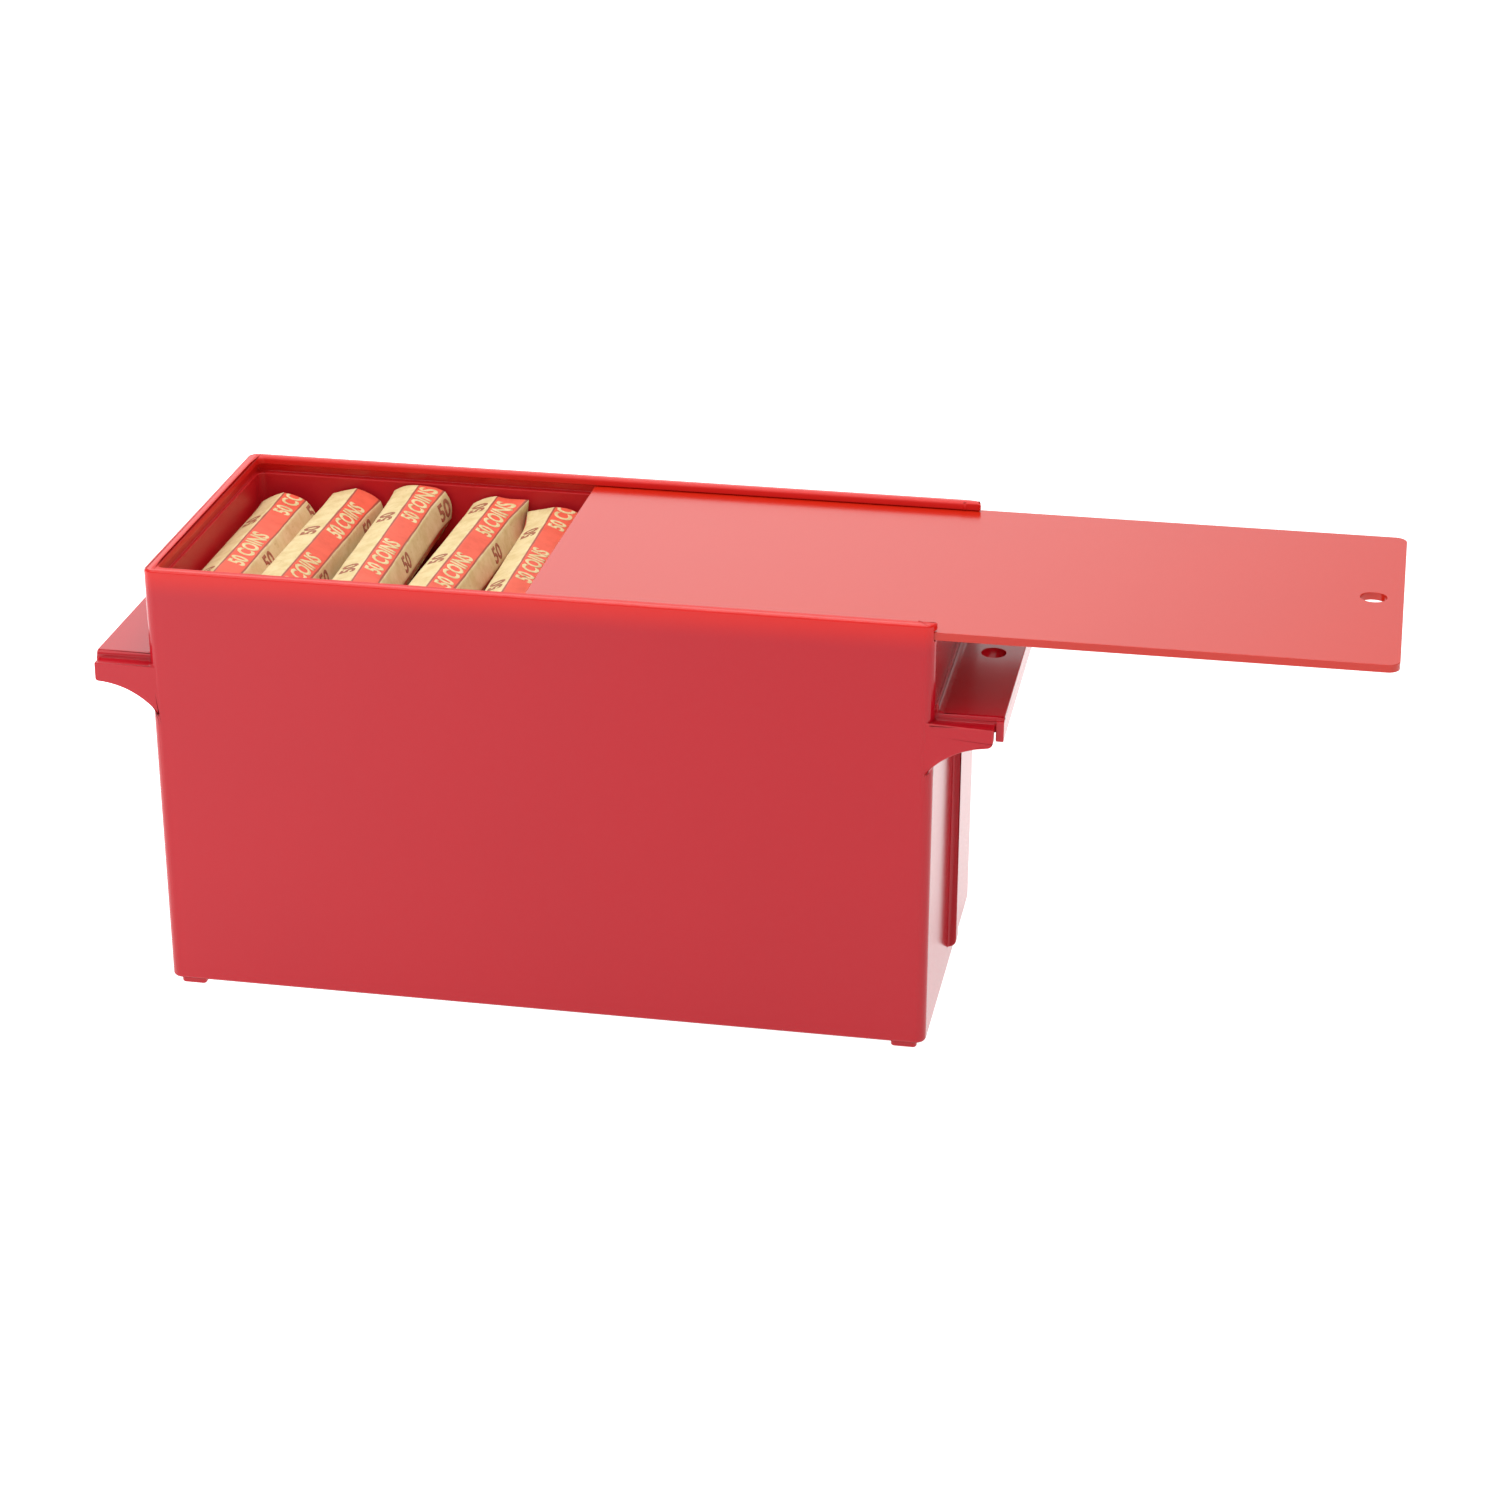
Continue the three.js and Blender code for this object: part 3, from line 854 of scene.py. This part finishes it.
for index in range(topRolls):
    node = f"wrapper_{index + 1:02d}"
    near, far = rollEnds(node)
    look = rollLook(index, 0)
    tubePiece = makeTube(f"paper_roll_{index + 1:02d}", near, far, look, paperTube, index + 1)
    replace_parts(tubePiece, node)
    printRoll(f"print_{index + 1:02d}", tubePiece, near, far, look, paperTube)
    stack = f"coin_stack_{index + 1:02d}"
    low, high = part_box(stack)
    coinMesh = coinStackMesh(*rollEnds(stack), (high.z - low.z) / 2, coinShape)
    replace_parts(makeCoins(f"coins_{index + 1:02d}", coinMesh), stack)
print("top row of rolls made")

# Lower rows: the same wrappers with fewer rows of faces, and coins set in from both ends
lowerRows = {
    "printed": 2,
    "counts": {2: 10, 3: 11, 4: 10},
    "bottomCounts": (11, 10, 11),
    "inset": 5 * mm,
    "coinRadius": 9.45 * mm,
}

for row, count in lowerRows["counts"].items():
    for index in range(count):
        node = f"row{row}_roll_{index + 1:02d}"
        near, far = rollEnds(node)
        seed = row * 20 + index
        look = rollLook(index, row)
        tubePiece = makeTube(f"row{row}_paper_{index + 1:02d}", near, far, look, lowerTube, seed)
        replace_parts(tubePiece, node)
        if row == lowerRows["printed"]:
            printRoll(f"row{row}_print_{index + 1:02d}", tubePiece, near, far, look, lowerTube)
        ends = insetEnds(near, far, lowerRows["inset"])
        coinMesh = coinStackMesh(*ends, lowerRows["coinRadius"], coveredCoins)
        makeCoins(f"row{row}_coins_{index + 1:02d}", coinMesh)


def makeBottomRolls(rows, tube):
    low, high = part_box("bottom_coin_rolls")
    rollLow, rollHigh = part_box("row4_roll_01")
    radius = (rollHigh.z - rollLow.z) / 2
    pitch = (high.x - low.x - 2 * radius) / (rows["bottomCounts"][0] - 1)
    rise = (high.z - low.z - 2 * radius) / (len(rows["bottomCounts"]) - 1)
    paper = bmesh.new()
    coins = bmesh.new()
    for level, count in enumerate(rows["bottomCounts"]):
        for index in range(count):
            x = (low.x + high.x) / 2 + (index - (count - 1) / 2) * pitch
            near = Vector((x, low.y, low.z + radius + level * rise))
            far = Vector((x, high.y, near.z))
            addTube(paper, near, far, rollLook(index, level + 5), tube, level * 20 + index + 100)
            stack = coinStackMesh(*insetEnds(near, far, rows["inset"]), rows["coinRadius"], coveredCoins)
            coins.from_mesh(stack)
            bpy.data.meshes.remove(stack)
    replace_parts(finishTubes("bottom_rolls_paper", paper, tube), "bottom_coin_rolls")
    mesh = bpy.data.meshes.new("bottom_rolls_coins")
    coins.to_mesh(mesh)
    coins.free()
    makeCoins("bottom_rolls_coins", mesh)


makeBottomRolls(lowerRows, lowerTube)
print("lower rows made")

# Studio: even white surroundings that darken to the right, one soft bright patch behind, and a pale
# glowing floor that is brighter to the left
studio = {
    "world": 0.76,
    "worldRight": 0.36,
    "rightWidth": 75,  # degrees round +X
    "patch": 0.95,
    "patchAzimuth": -18,
    "patchHeight": 24,
    "patchWidth": 22,
    "floorColors": ((0.32, 0.32, 0.32, 1), (0.30, 0.30, 0.30, 1)),
    "floorHalf": 6,
    "floorLight": 1.08,
    "floorLightLeft": 1.83,
    "floorFade": (0.02, -0.42),
    "key": {"place": (-0.9, -1.1, 1.7), "aim": (0, 0, 0.08), "size": (1.2, 1.2), "power": 9},
    "fill": {"place": (0.45, -0.9, 1.7), "aim": (0, 0, 0.1), "size": (1.0, 1.0), "power": 2},
    "top": {"place": (0.05, 0.1, 1.7), "aim": (0, 0, 0.1), "size": (1.6, 1.2), "power": 20},
}


def addLight(name, setup):
    light = bpy.data.lights.new(name, "AREA")
    light.shape = "RECTANGLE"
    light.size, light.size_y = setup["size"]
    light.energy = setup["power"]
    lamp = bpy.data.objects.new(name, light)
    towards = Vector(setup["aim"]) - Vector(setup["place"])
    lamp.location = setup["place"]
    lamp.rotation_euler = towards.to_track_quat("-Z", "Y").to_euler()
    scene.collection.objects.link(lamp)


def makeWorld(setup):
    world = bpy.data.worlds.new("softWhite")
    world.use_nodes = True
    tree = world.node_tree
    turn, height = math.radians(setup["patchAzimuth"]), math.radians(setup["patchHeight"])
    towards = (math.sin(turn) * math.cos(height), math.cos(turn) * math.cos(height), math.sin(height))
    looking = addNode(tree, "ShaderNodeTexCoord").outputs["Generated"]
    patchEdge = math.cos(math.radians(setup["patchWidth"]))
    patch = remap(tree, dotProduct(tree, looking, towards), patchEdge, 1, 0, setup["patch"])
    rightEdge = math.cos(math.radians(setup["rightWidth"]))
    even = remap(tree, separate(tree, looking)["X"], rightEdge, 1, setup["world"], setup["worldRight"])
    tree.links.new(math2(tree, "ADD", patch, even), tree.nodes["Background"].inputs["Strength"])
    tree.nodes["Background"].inputs["Color"].default_value = (1, 1, 1, 1)
    scene.world = world


def makeStudio(setup):
    makeWorld(setup)
    for name in ("key", "fill", "top"):
        addLight(name + "Light", setup[name])
    material, tree, shader = newMaterial("paleFloor")
    place = objectPlace(tree)
    tree.links.new(mixColor(tree, cloud(tree, place, 3), *setup["floorColors"]), shader.inputs["Base Color"])
    shader.inputs["Roughness"].default_value = 0.9
    shader.inputs["Specular IOR Level"].default_value = 0.1
    shader.inputs["Emission Color"].default_value = (1, 1, 1, 1)
    lights = (setup["floorLight"], setup["floorLightLeft"])
    lit = remap(tree, separate(tree, place)["X"], *setup["floorFade"], *lights)
    tree.links.new(lit, shader.inputs["Emission Strength"])
    work = bmesh.new()
    bmesh.ops.create_grid(work, x_segments=1, y_segments=1, size=setup["floorHalf"])
    mesh = bpy.data.meshes.new("floor")
    work.to_mesh(mesh)
    work.free()
    floor = bpy.data.objects.new("floor", mesh)
    mesh.materials.append(material)
    scene.collection.objects.link(floor)
    scene.view_settings.view_transform = "Standard"


makeStudio(studio)
print("studio made")
